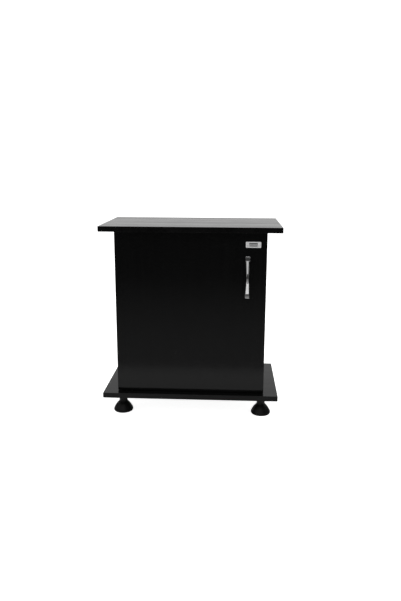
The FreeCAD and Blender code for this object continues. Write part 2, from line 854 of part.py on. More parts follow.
def make_door():
    drills = []
    plate_left = pivot_x - cell("pivot_plate_width") / 2 + cell("pivot_plate_lead")
    plate_near = pivot_y - cell("pivot_plate_width") / 2
    thick = cell("pivot_plate_thickness")
    plate_size = (cell("pivot_plate_length"), cell("pivot_plate_width"), thick)
    for name, edge_z, _, away in pivot_ends():
        low_z = edge_z - thick if away > 0 else edge_z
        mortise_low = (plate_left, plate_near, low_z)
        drills.append(block(f"mortise_{name}", mortise_low, plate_size))
        for index, x in enumerate(plate_screw_xs()):
            at = (x, pivot_y, edge_z)
            drills.append(rod(f"edge_hole_{name}{index}", at, arrow("Z", -away), pilot, pilot_long))
    for index, z in enumerate(handle_screw_heights()):
        at = (handle_x, door_rear, z)
        hole = cell("handle_screw_radius") + cell("clearance_play")
        drills.append(rod(f"handle_hole{index}", at, "-Y", hole, board))
    strike_at = (strike_x(), door_rear, roof - cell("catch_drop"))
    drills.append(rod("strike_hole", strike_at, "-Y", pilot, pilot_short))
    low = (-door_half, door_front, door_bottom)
    size = (cell("door_width"), board, door_top - door_bottom)
    edged_board("door_panel", low, size, 1, drills)

    for name, edge_z, surface, away in pivot_ends():
        low_z = edge_z - thick if away > 0 else edge_z
        leaf = block(f"leaf_{name}", (plate_left, plate_near, low_z), plate_size)
        tip = cell("door_gap") + cell("bush_length") - cell("pivot_tip_play")
        root = thick * cell("pivot_root_share")
        pin_at = (pivot_x, pivot_y, edge_z - root * away)
        pin = rod(f"pin_{name}", pin_at, arrow("Z", away), cell("pivot_radius"), tip + root)
        sinks = []
        for index, x in enumerate(plate_screw_xs()):
            at = (x, pivot_y, edge_z)
            down = arrow("Z", -away)
            wide = pilot + cell("sink_flare")
            sinks.append(cone(f"sink_{name}{index}", at, down, wide, pilot, cell("sink_depth")))
            sinks.append(rod(f"clear_{name}{index}", at, down, pilot, thick))
        plate = cut(f"leaf_drilled_{name}", leaf, sinks)
        node(fuse(f"pivot_{name}", [plate, pin]), f"pivot_plate_{name}")

        bore = cell("pivot_radius") + fit
        flange = cell("bush_flange")
        outline = [(bore, -flange), (cell("bush_flange_radius"), -flange)]
        outline += [(cell("bush_flange_radius"), 0), (cell("bush_radius"), 0)]
        outline += [(cell("bush_radius"), cell("bush_length")), (bore, cell("bush_length"))]
        bush = turned(f"bush_{name}", outline)
        place(bush, (pivot_x, pivot_y, surface), arrow("Z", away))
        node(bush, f"pivot_bush_{name}")

    plate_screw = screw("plate_screw", countersunk=True)
    places = [
        ((x, pivot_y, edge_z), arrow("Z", -away))
        for name, edge_z, _, away in pivot_ends()
        for x in plate_screw_xs()
    ]
    group("pivot_plate_screws", plate_screw, places)

    bumper_radius = cell("bumper_radius")
    thickness = cell("door_clearance") - cell("bumper_clearance")
    bevel = cell("bumper_chamfer")
    outline = [(0, 0), (bumper_radius, 0), (bumper_radius, thickness - bevel)]
    outline += [(bumper_radius - bevel, thickness), (0, thickness)]
    bumper = turned("bumper", outline)
    heights = (door_bottom + cell("bumper_inset"), door_top - cell("bumper_inset"))
    bumper_x = side_mid - cell("bumper_shift")
    places = [((bumper_x, door_rear, z), "+Y") for z in heights]
    group("door_bumpers", bumper, places)


def strap_section(centre, tilt, across, thick):
    """A superellipse, wide along X, standing across a path whose tangent is tilted about X."""
    points = []
    count = 24
    power = 2 / BOW_SQUARENESS
    for index in range(count):
        angle = 2 * math.pi * index / count
        cosine, sine = math.cos(angle), math.sin(angle)
        x = across / 2 * math.copysign(abs(cosine) ** power, cosine)
        y = thick / 2 * math.copysign(abs(sine) ** power, sine)
        points.append(Vector(x, y, 0))
    curve = Part.BSplineCurve()
    curve.interpolate(Points=points, PeriodicFlag=True)
    wire = Part.Wire(curve.toShape())
    wire.Placement = Placement(centre, Rotation(Vector(1, 0, 0), math.degrees(tilt)))
    return wire


BOW_SECTIONS = 49
BOW_EVENNESS = 0.35
BOW_FLARE = 1.2
BOW_SQUARENESS = 2.4


def make_bow():
    """Two straight arms that rise from the ends to a short flat middle and narrow towards it.

    The sections lie closer together towards the middle, where the shape changes most.
    """
    reach = cell("handle_reach").number
    half = cell("handle_pitch").number / 2
    flat = cell("handle_flat").number
    soft = cell("handle_blend").number
    slope = (reach - cell("handle_end_reach").number) / (half - flat)
    waist = cell("handle_waist_width").number
    end = cell("handle_end_width").number
    thin = cell("handle_thickness").number
    sections = []
    for index in range(BOW_SECTIONS):
        share = 1 - 2 * index / (BOW_SECTIONS - 1)
        z = half * share * (BOW_EVENNESS + (1 - BOW_EVENNESS) * abs(share))
        over = abs(z) - flat
        bend = math.hypot(over, soft)
        drop = slope * (over + bend) / 2
        tilt = math.copysign(math.atan(slope * (1 + over / bend) / 2), z)
        flare = max(over, 0) / (half - flat)
        across = waist + (end - waist) * flare ** BOW_FLARE
        centre = Vector(0, drop - reach, z)
        sections.append(strap_section(centre, math.pi - tilt, across, thin))
    bow = doc.addObject("Part::Feature", "handle_bow")
    bow.Shape = Part.makeLoft(sections, True, False)
    place(bow, (handle_x, door_front, handle_z))
    return bow


def make_handle():
    pads = []
    holes = []
    wide = cell("handle_pad_width")
    tall = cell("handle_pad_height")
    deep = cell("handle_pad_depth")
    round_off = cell("handle_pad_round").number
    for index, z in enumerate(handle_screw_heights()):
        low = (handle_x - wide / 2, door_front - deep, z - tall / 2)
        pad = block(f"handle_pad{index}", low, (wide, deep, tall))
        doc.recompute()
        outer = [
            (number, round_off, round_off)
            for number, side in enumerate(pad.Shape.Edges, start=1)
            if side.BoundBox.YMax < number_of(door_front) - 1 or side.BoundBox.YLength > 1
        ]
        soft = doc.addObject("Part::Fillet", f"handle_foot{index}")
        soft.Base = pad
        soft.Edges = outer
        pads.append(soft)
        hole = cell("handle_screw_radius") + fit
        bite = cell("handle_screw_bite")
        holes.append(rod(f"handle_thread{index}", (handle_x, door_front, z), "-Y", hole, bite))
    shear_size = (wide * 2, deep * 2, cell("handle_pitch") * 1.5)
    shear_low = (handle_x - wide, door_front, handle_z - cell("handle_pitch") * 0.75)
    shear = block("handle_shear", shear_low, shear_size)
    solid = fuse("handle_solid", [make_bow()] + pads)
    node(cut("handle_tapped", solid, holes + [shear]), "handle")

    handle_screw = screw("handle_screw")
    places = [((handle_x, door_rear, z), "-Y") for z in handle_screw_heights()]
    group("handle_screws", handle_screw, places)


def make_label_plate():
    across = cell("plate_width")
    high = cell("plate_height")
    border = cell("plate_border")
    thick = cell("plate_thickness")
    frame = padded(
        "plate_frame",
        [
            rounded_rectangle(across, high, cell("plate_corner")),
            rounded_rectangle(across - border * 2, high - border * 2, cell("plate_inner_corner")),
        ],
        thick,
    )
    insert_play = fit * 2
    insert = padded(
        "plate_insert",
        [
            rounded_rectangle(
                across - border * 2 - insert_play,
                high - border * 2 - insert_play,
                cell("plate_inner_corner") - fit,
            )
        ],
        thick * cell("plate_insert_share"),
    )
    at = (door_half - cell("plate_inset"), door_front, cell("plate_centre"))
    for body, label in ((frame, "label_plate_frame"), (insert, "label_plate_insert")):
        place(body, at, "-Y", "+X")
        node(body, label)


# ---------------------------------------------------------------- magnetic catch

def catch_height():
    return roof - cell("catch_drop")


def catch_screw_heights():
    half = cell("catch_screw_pitch") / 2
    return [catch_height() - half, catch_height() + half]


def catch_screw_y():
    return body_front + cell("catch_depth") - cell("catch_screw_inset")


def strike_x():
    return side_in - cell("catch_width") / 2


def make_catch():
    wide = cell("catch_width")
    long = cell("catch_depth")
    tall = cell("catch_height")
    low_x = side_in - wide
    low_z = catch_height() - tall / 2
    front_y = body_front - cell("catch_proud")
    blank = block("catch_blank", (low_x, front_y, low_z), (wide, long, tall))
    slot_depth = cell("catch_slot_depth")
    slot_wide = cell("catch_slot_width")
    slot_tall = cell("catch_slot_height")
    slot_low = (strike_x() - slot_wide / 2, front_y, catch_height() - slot_tall / 2)
    cuts = [block("catch_slot", slot_low, (slot_wide, slot_depth, slot_tall))]
    for index, z in enumerate(catch_screw_heights()):
        at = (low_x, catch_screw_y(), z)
        cuts.append(rod(f"catch_clear{index}", at, "+X", pilot, wide))
    node(cut("catch_cut", blank, cuts), "catch_housing")

    plate = cell("pole_thickness")
    play = cell("pole_play")
    proud = cell("pole_proud")
    poles = []
    for index, sign in enumerate((-1, 1)):
        z = catch_height() + (slot_tall / 2 - play) * sign
        if sign > 0:
            z = z - plate
        low = (strike_x() - slot_wide / 2 + play, front_y - proud, z)
        poles.append(block(f"pole{index}", low, (slot_wide - play * 2, slot_depth, plate)))
    pair = doc.addObject("Part::Compound", "pole_pair")
    pair.Links = poles
    node(pair, "catch_pole_plates")
    magnet_tall = slot_tall - (plate + play * 2) * 2
    low = (strike_x() - slot_wide / 2 + play, front_y - play, catch_height() - magnet_tall / 2)
    size = (slot_wide - play * 2, slot_depth - cell("magnet_inset"), magnet_tall)
    node(block("magnet", low, size), "catch_magnet")

    catch_screw = screw("catch_screw")
    places = [((low_x, catch_screw_y(), z), "+X") for z in catch_screw_heights()]
    group("catch_screws", catch_screw, places)

    strike_thick = cell("strike_thickness")
    strike_tall = cell("strike_height")
    low = (low_x, door_rear, catch_height() - strike_tall / 2)
    strike = block("strike_blank", low, (wide, strike_thick, strike_tall))
    at = (strike_x(), door_rear + strike_thick, catch_height())
    sink_end = pilot + cell("strike_sink_flare")
    sink_deep = cell("strike_sink_depth")
    sink = cone("strike_sink", at, "-Y", pilot + cell("sink_flare"), sink_end, sink_deep)
    clear = rod("strike_clear", at, "-Y", pilot, strike_thick)
    node(cut("strike_cut", strike, [sink, clear]), "strike_plate")
    strike_screw = screw("strike_screw", countersunk=True)
    place(strike_screw, at, "-Y")
    node(strike_screw, "strike_screw")


# ---------------------------------------------------------------- feet

def foot_outline():
    """(radius, height) around the section of one hollow foot, above the floor."""
    low = cell("foot_pad_thickness")
    lip_bore = cell("foot_lip_bore")
    rim = cell("foot_rim_radius")
    turn = cell("foot_rim_round")
    bell = cell("foot_bell_radius")
    bell_start = cell("foot_bell_start")
    shoulder = cell("foot_shoulder_radius")
    shoulder_start = cell("foot_shoulder_start")
    neck = cell("foot_neck_radius")
    neck_start = cell("foot_neck_start")
    top = cell("foot_height")
    bolt = cell("foot_bolt_radius") + fit
    roof_under = top - cell("foot_head")
    wall = cell("foot_wall")
    lip = cell("foot_lip_thickness")
    return [
        (lip_bore, low),
        (rim - turn, low, turn, 1),
        (rim, low + turn, turn, 1),
        (rim - turn, low + turn * 2),
        (rim - turn, bell_start - cell("foot_rim_step")),
        (bell, bell_start, cell("foot_bell_curve"), 1),
        (shoulder, shoulder_start, cell("foot_neck_curve"), -1),
        (neck, neck_start),
        (neck, top),
        (bolt, top),
        (bolt, roof_under),
        (neck - wall, roof_under),
        (neck - wall, neck_start),
        (rim - wall - turn, bell_start),
        (rim - wall - turn, low + lip),
        (lip_bore, low + lip),
    ]


def make_feet():
    outline = foot_outline()
    for name, x, y in foot_places():
        foot = turned(f"shell_{name}", outline)
        place(foot, (x, y, 0))
        node(foot, f"foot_{name}")

    outer = cell("foot_pad_radius")
    thick = cell("foot_pad_thickness")
    bevel = cell("foot_pad_chamfer")
    disc = [(0, 0), (outer - bevel, 0), (outer, bevel), (outer, thick), (0, thick)]
    pad = turned("pad_disc", disc)
    places = [((x, y, 0), "+Z") for _, x, y in foot_places()]
    group("foot_pads", pad, places)

    radius = cell("foot_bolt_radius")
    seat = cell("foot_height") - cell("foot_head")
    head = cell("foot_bolt_head_radius")
    low = -cell("foot_bolt_head")
    chamfer = cell("foot_bolt_chamfer")
    tip = cell("foot_bolt_reach")
    outline = [(0, low), (head - chamfer, low), (head, low + chamfer), (head, 0), (radius, 0)]
    outline += [(radius, tip), (0, tip)]
    bolt_blank = turned("foot_bolt_blank", outline)
    corners = hexagon(cell("foot_bolt_socket"))
    socket = padded("socket", [corners], cell("foot_bolt_socket_depth"))
    place(socket, (0, 0, low))
    bolt = cut("foot_bolt", bolt_blank, [socket])
    group("foot_bolts", bolt, [((x, y, seat), "+Z") for _, x, y in foot_places()])

    outer = cell("insert_radius")
    tall = cell("insert_length") - end_gap
    outline = [(radius + fit, 0), (outer, 0), (outer, tall), (radius + fit, tall)]
    insert = turned("insert", outline)
    group("threaded_inserts", insert, [((x, y, base_bottom), "+Z") for _, x, y in foot_places()])


def hexagon(corner_radius):
    """Six corners about the origin, anticlockwise."""
    angles = [math.pi / 3 * step + math.pi / 6 for step in range(6)]
    return [(corner_radius * math.cos(a), corner_radius * math.sin(a)) for a in angles]


# ---------------------------------------------------------------- build, test and write

make_boards()
make_side_panels()
make_back()
make_stretcher()
make_shelf()
make_fittings()
make_door()
make_handle()
make_label_plate()
make_catch()
make_feet()
doc.recompute()

faults = [obj.Name for obj in doc.Objects if {"Invalid", "Error"} & set(obj.State)]
for piece in NODES:
    shape = piece.Shape
    if shape.isNull() or not shape.isValid() or not shape.Solids:
        faults.append(piece.Label)
if faults:
    raise SystemExit("failed: " + ", ".join(faults))

os.makedirs("parts", exist_ok=True)
for piece in NODES:
    piece.Shape.exportStep(os.path.join("parts", f"{piece.Label}.step"))
print(len(NODES), "nodes written")
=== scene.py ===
"""Looks of the aquarium stand cabinet: materials, rounded edges, studio and camera."""
import math

import bmesh
import bpy
from mathutils import Matrix, Vector


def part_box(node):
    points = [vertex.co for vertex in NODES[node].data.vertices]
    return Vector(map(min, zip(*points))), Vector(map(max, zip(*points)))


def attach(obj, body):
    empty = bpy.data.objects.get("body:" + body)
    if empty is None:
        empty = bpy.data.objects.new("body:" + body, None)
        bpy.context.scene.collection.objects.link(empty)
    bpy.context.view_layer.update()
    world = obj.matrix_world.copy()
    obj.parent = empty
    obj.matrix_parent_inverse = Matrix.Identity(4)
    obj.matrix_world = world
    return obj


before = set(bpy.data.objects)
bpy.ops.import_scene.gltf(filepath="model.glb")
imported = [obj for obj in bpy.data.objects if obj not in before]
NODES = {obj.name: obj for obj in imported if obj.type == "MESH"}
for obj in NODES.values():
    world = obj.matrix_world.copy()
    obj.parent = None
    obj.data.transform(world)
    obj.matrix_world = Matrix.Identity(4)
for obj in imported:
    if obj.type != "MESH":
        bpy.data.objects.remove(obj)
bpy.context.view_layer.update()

scene = bpy.context.scene
MM = 0.001


# ------------------------------------------------------------------ camera

CAMERA_PLACE = Vector((0.130, -2.096, 0.8568))  # metres, in the stand's own frame
CAMERA_YAW = math.radians(-2.815)
CAMERA_DOWN = math.radians(12.891)
CAMERA_ROLL = math.radians(0.24)
CAMERA_LENS = 35.84


def make_camera():
    forward = Vector((
        math.sin(CAMERA_YAW) * math.cos(CAMERA_DOWN),
        math.cos(CAMERA_YAW) * math.cos(CAMERA_DOWN),
        -math.sin(CAMERA_DOWN),
    ))
    level = Vector((math.cos(CAMERA_YAW), -math.sin(CAMERA_YAW), 0))
    upright = level.cross(forward)
    right = level * math.cos(CAMERA_ROLL) + upright * math.sin(CAMERA_ROLL)
    up = upright * math.cos(CAMERA_ROLL) - level * math.sin(CAMERA_ROLL)
    data = bpy.data.cameras.new("camera")
    data.lens = CAMERA_LENS
    camera = bpy.data.objects.new("camera", data)
    turn = Matrix((right, up, -forward)).transposed().to_4x4()
    camera.matrix_world = Matrix.Translation(CAMERA_PLACE) @ turn
    scene.collection.objects.link(camera)
    scene.camera = camera


# ------------------------------------------------------------------ shader graphs

NOISE_SPAN = (0.3, 0.7)
CORNER_TURN = (0.995, 0.86)  # cosines of the turns where an edge begins to count and fully counts


def grey(value):
    return (value, value, value, 1)


class Graph:
    """A material whose nodes are added one call at a time."""

    def __init__(self, name):
        self.material = bpy.data.materials.new(name)
        self.material.use_nodes = True
        self.nodes = self.material.node_tree.nodes
        self.links = self.material.node_tree.links
        self.nodes.clear()
        self.place = self.node("ShaderNodeTexCoord").outputs

    def node(self, kind, inputs=None, **settings):
        made = self.nodes.new(kind)
        for key, value in settings.items():
            setattr(made, key, value)
        for socket, value in (inputs or {}).items():
            self.feed(made.inputs[socket], value)
        return made

    def feed(self, socket, value):
        if isinstance(value, bpy.types.NodeSocket):
            self.links.new(value, socket)
        else:
            socket.default_value = value

    def stretched(self, scale):
        """The object's own coordinates, in metres, times a scale for each axis."""
        mapping = self.node("ShaderNodeMapping", {"Vector": self.place["Object"], "Scale": scale})
        return mapping.outputs["Vector"]

    def noise(self, scale, detail=3, rough=0.5, twist=0):
        """Soft noise, with scale features to the metre on every axis or on each."""
        fine = (scale,) * 3 if isinstance(scale, (int, float)) else scale
        inputs = {
            "Vector": self.stretched(fine),
            "Scale": 1,
            "Detail": detail,
            "Roughness": rough,
            "Distortion": twist,
        }
        return self.node("ShaderNodeTexNoise", inputs).outputs["Fac"]

    def cells(self, scale, output="Distance", feature="F1"):
        """Voronoi cells, with scale cells to the metre on each axis."""
        inputs = {"Vector": self.stretched(scale), "Scale": 1}
        return self.node("ShaderNodeTexVoronoi", inputs, feature=feature).outputs[output]

    def remap(self, value, low, high, to_low=0, to_high=1):
        inputs = {
            "Value": value,
            "From Min": low,
            "From Max": high,
            "To Min": to_low,
            "To Max": to_high,
        }
        return self.node("ShaderNodeMapRange", inputs).outputs["Result"]

    def spread(self, noise, to_low=0, to_high=1):
        """Noise, which mostly stays inside NOISE_SPAN, spread over a whole range."""
        return self.remap(noise, *NOISE_SPAN, to_low, to_high)

    def math(self, operation, first, second=0.0):
        made = self.node("ShaderNodeMath", operation=operation)
        self.feed(made.inputs[0], first)
        self.feed(made.inputs[1], second)
        return made.outputs[0]

    def plus(self, first, second):
        return self.math("ADD", first, second)

    def times(self, first, second):
        return self.math("MULTIPLY", first, second)

    def blend(self, share, first, second):
        """A colour that goes from first to second as share goes from 0 to 1."""
        made = self.node("ShaderNodeMix", data_type="RGBA")
        for index, value in ((0, share), (6, first), (7, second)):
            self.feed(made.inputs[index], value)
        return made.outputs[2]

    def facing(self, axis):
        """How squarely the surface faces along or against an axis of the object, 0 to 1."""
        split = self.node("ShaderNodeSeparateXYZ", {"Vector": self.place["Normal"]})
        return self.math("ABSOLUTE", split.outputs[axis])

    def corner(self, radius):
        """1 near the object's edges and 0 away from them."""
        rounded = self.node("ShaderNodeBevel", {"Radius": radius}, samples=4).outputs["Normal"]
        flat = self.node("ShaderNodeNewGeometry").outputs["Normal"]
        dot = self.node("ShaderNodeVectorMath", operation="DOT_PRODUCT")
        self.feed(dot.inputs[0], rounded)
        self.feed(dot.inputs[1], flat)
        return self.remap(dot.outputs["Value"], *CORNER_TURN)

    def bump(self, height, depth, normal=None):
        inputs = {"Height": height, "Distance": depth, "Strength": 1}
        if normal is not None:
            inputs["Normal"] = normal
        return self.node("ShaderNodeBump", inputs).outputs["Normal"]

    def finish(self, colour, roughness, normal, **uniform):
        """The surface itself; uniform holds plain numbers for its other sockets."""
        inputs = {"Base Color": colour, "Roughness": roughness, "Normal": normal}
        inputs.update({socket.replace("_", " "): value for socket, value in uniform.items()})
        surface = self.node("ShaderNodeBsdfPrincipled", inputs)
        output = self.node("ShaderNodeOutputMaterial")
        self.links.new(surface.outputs["BSDF"], output.inputs["Surface"])
        return self.material


# ------------------------------------------------------------------ boards

AXES = {"X": 0, "Y": 1, "Z": 2}

CHIP_DARK = (0.34, 0.20, 0.10, 1)
CHIP_PALE = (0.62, 0.44, 0.26, 1)
CHIP_DUST = (0.20, 0.11, 0.05, 1)
CHIP_ROUGHER = 0.65
CHIP_DEPTH = 0.3 * MM

MELAMINE_DARK = (0.0019, 0.0020, 0.0020, 1)
MELAMINE_LIGHT = (0.0033, 0.0034, 0.0034, 1)
MELAMINE_ROUGHNESS = (0.105, 0.165)
MELAMINE_IOR = 1.31
WIDE_STREAK = 0.045
PEARL_DEPTH = 0.004 * MM
WAVE_DEPTH = 0.55 * MM
SCRATCH_GREY = 0.03
SCRATCH_SHARE = 0.25

BAND_DARK = 0.0020
BAND_LIGHT = 0.0038
BAND_RUBBED = 0.014
BAND_ROUGHNESS = (0.17, 0.25)
BAND_DEPTH = 0.008 * MM
BAND_IOR = 1.25

FIBRE_DARK = (0.115, 0.058, 0.026, 1)
FIBRE_BROWN = (0.190, 0.100, 0.048, 1)
FIBRE_PALE = (0.300, 0.175, 0.090, 1)
FIBRE_ROUGHNESS = (0.72, 0.86)
FIBRE_DEPTH = 0.14 * MM
FIBRE_IOR = 1.45
FOIL_DARK = 0.004
FOIL_LIGHT = 0.008
FOIL_SMOOTHER = 0.42
SCREEN_PITCH = 2.2 * MM


def along(axis, lengthwise, crosswise):
    """A scale for each axis: lengthwise along the grain and crosswise over it."""
    return tuple(lengthwise if AXES[axis] == index else crosswise for index in range(3))


def chipboard(graph):
    """Raw pressed chips: (colour, height)."""
    chip = graph.cells((330, 330, 620), "Color")
    tint = graph.node("ShaderNodeSeparateColor", {"Color": chip}).outputs["Red"]
    pale = graph.blend(tint, CHIP_DARK, CHIP_PALE)
    dust = graph.noise(1500, 2)
    colour = graph.blend(graph.remap(dust, 0.35, 0.75), pale, CHIP_DUST)
    height = graph.plus(tint, dust)
    return colour, height


def laminate(name, flat, grain):
    """Black melamine on the faces across flat, with its grain along one axis; raw chips elsewhere.

    The level boards also have wide streaks that shine less.
    """
    graph = Graph(name)
    streak = graph.noise(along(grain, 3, 260), 4, 0.6)
    pearl = graph.noise(850, 2, 0.5)
    haze = graph.noise(9, 3, 0.55)
    rub = graph.noise(along(grain, 14, 55), 5, 0.7, 0.4)
    line = graph.cells(along(grain, 5, 480), "Distance", "DISTANCE_TO_EDGE")
    scratch = graph.remap(line, 0.012, 0)
    scratched = graph.times(scratch, graph.remap(haze, 0.52, 0.7))
    black = graph.blend(graph.spread(streak), MELAMINE_DARK, MELAMINE_LIGHT)
    worn = graph.blend(graph.times(scratched, SCRATCH_SHARE), black, grey(SCRATCH_GREY))
    clouds = graph.spread(haze, 0, 0.03)
    dull = graph.plus(graph.remap(rub, 0.3, 0.75, *MELAMINE_ROUGHNESS), clouds)
    if flat == "Z":
        wide = graph.noise(along(grain, 0.6, 18), 1, 0.5)
        dull = graph.plus(dull, graph.remap(wide, 0.40, 0.62, 0, WIDE_STREAK))
    chips, chip_height = chipboard(graph)
    raw = graph.remap(graph.facing(flat), 0.6, 0.4)
    colour = graph.blend(raw, worn, chips)
    roughness = graph.plus(dull, graph.times(raw, CHIP_ROUGHER))
    broad = graph.noise(along(grain, 2.5, 26), 2, 0.5)
    fine = graph.bump(graph.plus(pearl, graph.times(streak, 0.6)), PEARL_DEPTH)
    waved = graph.bump(broad, WAVE_DEPTH, fine)
    normal = graph.bump(graph.times(chip_height, raw), CHIP_DEPTH, waved)
    return graph.finish(colour, roughness, normal, IOR=MELAMINE_IOR)


def edge_band(name, grain):
    """Thin plastic band: fine drawn lines along it, and arrises rubbed a little lighter."""
    graph = Graph(name)
    drawn = graph.noise(along(grain, 8, 1400), 3, 0.6)
    patch = graph.noise(35, 4, 0.6)
    knock = graph.noise(240, 3, 0.7)
    rubbed = graph.times(graph.corner(ARRIS), graph.remap(knock, 0.42, 0.62, 0.15, 1))
    black = graph.blend(graph.spread(patch), grey(BAND_DARK), grey(BAND_LIGHT))
    colour = graph.blend(rubbed, black, grey(BAND_RUBBED))
    dull = graph.spread(patch, *BAND_ROUGHNESS)
    roughness = graph.plus(dull, graph.times(rubbed, 0.12))
    normal = graph.bump(graph.plus(drawn, graph.times(patch, 0.5)), BAND_DEPTH)
    return graph.finish(colour, roughness, normal, IOR=BAND_IOR)


def hardboard(name):
    """Brown pressed fibre with a wire-screen print behind, and a thin black foil on the inside."""
    graph = Graph(name)
    fibre = graph.noise((420, 420, 700), 5, 0.75, 0.8)
    blotch = graph.noise(16, 4, 0.6)
    dark = graph.blend(graph.spread(blotch), FIBRE_DARK, FIBRE_BROWN)
    brown = graph.blend(graph.remap(fibre, 0.35, 0.7), dark, FIBRE_PALE)
    split = graph.node("ShaderNodeSeparateXYZ", {"Vector": graph.place["Object"]})
    waves = [
        graph.math("SINE", graph.times(split.outputs[axis], 2 * math.pi / SCREEN_PITCH))
        for axis in ("X", "Z")
    ]
    screen = graph.times(*waves)
    facing = graph.node("ShaderNodeSeparateXYZ", {"Vector": graph.place["Normal"]}).outputs["Y"]
    inside = graph.remap(facing, -0.6, -0.9)
    foil = graph.blend(graph.noise(1200, 2), grey(FOIL_DARK), grey(FOIL_LIGHT))
    colour = graph.blend(inside, brown, foil)
    matt = graph.spread(fibre, *FIBRE_ROUGHNESS)
    roughness = graph.math("SUBTRACT", matt, graph.times(inside, FOIL_SMOOTHER))
    relief = graph.plus(fibre, graph.times(screen, 0.35))
    depth = graph.times(relief, graph.math("SUBTRACT", 1.05, inside))
    return graph.finish(colour, roughness, graph.bump(depth, FIBRE_DEPTH), IOR=FIBRE_IOR)


# ------------------------------------------------------------------ plastics, rubber and wood

MOULD_EDGE = 0.6 * MM
MOULD_PALER = 2.2
BEECH_DARK = (0.52, 0.30, 0.15, 1)
BEECH_PALE = (0.72, 0.48, 0.27, 1)
BEECH_RAY = (0.36, 0.18, 0.08, 1)


def moulded(name, dark, light, rough, texture, ior):
    """Moulded plastic or rubber: fine eroded texture, cloudy gloss and slightly rubbed edges."""
    graph = Graph(name)
    fine = graph.noise(1600, 3, 0.6)
    cloud = graph.noise(48, 4, 0.6)
    edge = graph.corner(MOULD_EDGE)
    rubbed = graph.times(edge, graph.remap(graph.noise(300, 3), 0.4, 0.65))
    body = graph.blend(graph.spread(cloud), dark, light)
    paler = tuple(min(1, part * MOULD_PALER) for part in light[:3]) + (1,)
    colour = graph.blend(graph.times(rubbed, 0.5), body, paler)
    roughness = graph.spread(cloud, rough - 0.05, rough + 0.06)
    height = graph.plus(fine, graph.times(cloud, 0.6))
    return graph.finish(colour, roughness, graph.bump(height, texture), IOR=ior)


def ferrite(name):
    """Fired magnet: dark grey, matt, with pressed grains."""
    graph = Graph(name)
    grain = graph.cells((2600, 2600, 2600), "Color")
    speck = graph.node("ShaderNodeSeparateColor", {"Color": grain}).outputs["Green"]
    colour = graph.blend(speck, grey(0.020), grey(0.050))
    roughness = graph.remap(speck, 0, 1, 0.5, 0.7)
    return graph.finish(colour, roughness, graph.bump(speck, 0.02 * MM), IOR=1.6)


def beech(name):
    """Turned beech: pale wood, fine rays along the grain."""
    graph = Graph(name)
    ring = graph.noise((180, 180, 25), 4, 0.6, 0.6)
    ray = graph.remap(graph.cells((900, 900, 160)), 0.1, 0.5)
    wood = graph.blend(graph.spread(ring), BEECH_DARK, BEECH_PALE)
    colour = graph.blend(graph.times(ray, 0.25), wood, BEECH_RAY)
    roughness = graph.spread(ring, 0.5, 0.65)
    return graph.finish(colour, roughness, graph.bump(ring, 0.08 * MM), IOR=1.5)


# ------------------------------------------------------------------ metals

SILVER_METALLIC = 0.15  # a pale printed silver is only partly a mirror
METAL_EDGE = 0.4 * MM
METAL_PALER = 1.1


def metal(name, dark, light, rough, texture, lines, spread, metallic):
    """Plated or cast metal: fine lines or grain, cloudy reflection and brighter rubbed edges."""
    graph = Graph(name)
    fine = graph.noise(lines, 3, 0.6)
    cloud = graph.noise(60, 4, 0.6)
    smear = graph.noise(22, 5, 0.7, 0.7)
    rubbed = graph.times(graph.corner(METAL_EDGE), 0.5)
    body = graph.blend(graph.remap(graph.plus(fine, cloud), 0.7, 1.3), dark, light)
    paler = tuple(min(1, part * METAL_PALER) for part in light[:3]) + (1,)
    colour = graph.blend(rubbed, body, paler)
    roughness = graph.remap(smear, 0.3, 0.75, rough - spread, rough + spread)
    height = graph.plus(fine, graph.times(cloud, 0.3))
    normal = graph.bump(height, texture)
    return graph.finish(colour, roughness, normal, Metallic=metallic)


# ------------------------------------------------------------------ every material of the stand

BOARD_KINDS = {"top": ("Z", "X"), "side": ("X", "Z"), "front": ("Y", "Z"), "rail": ("Y", "X")}


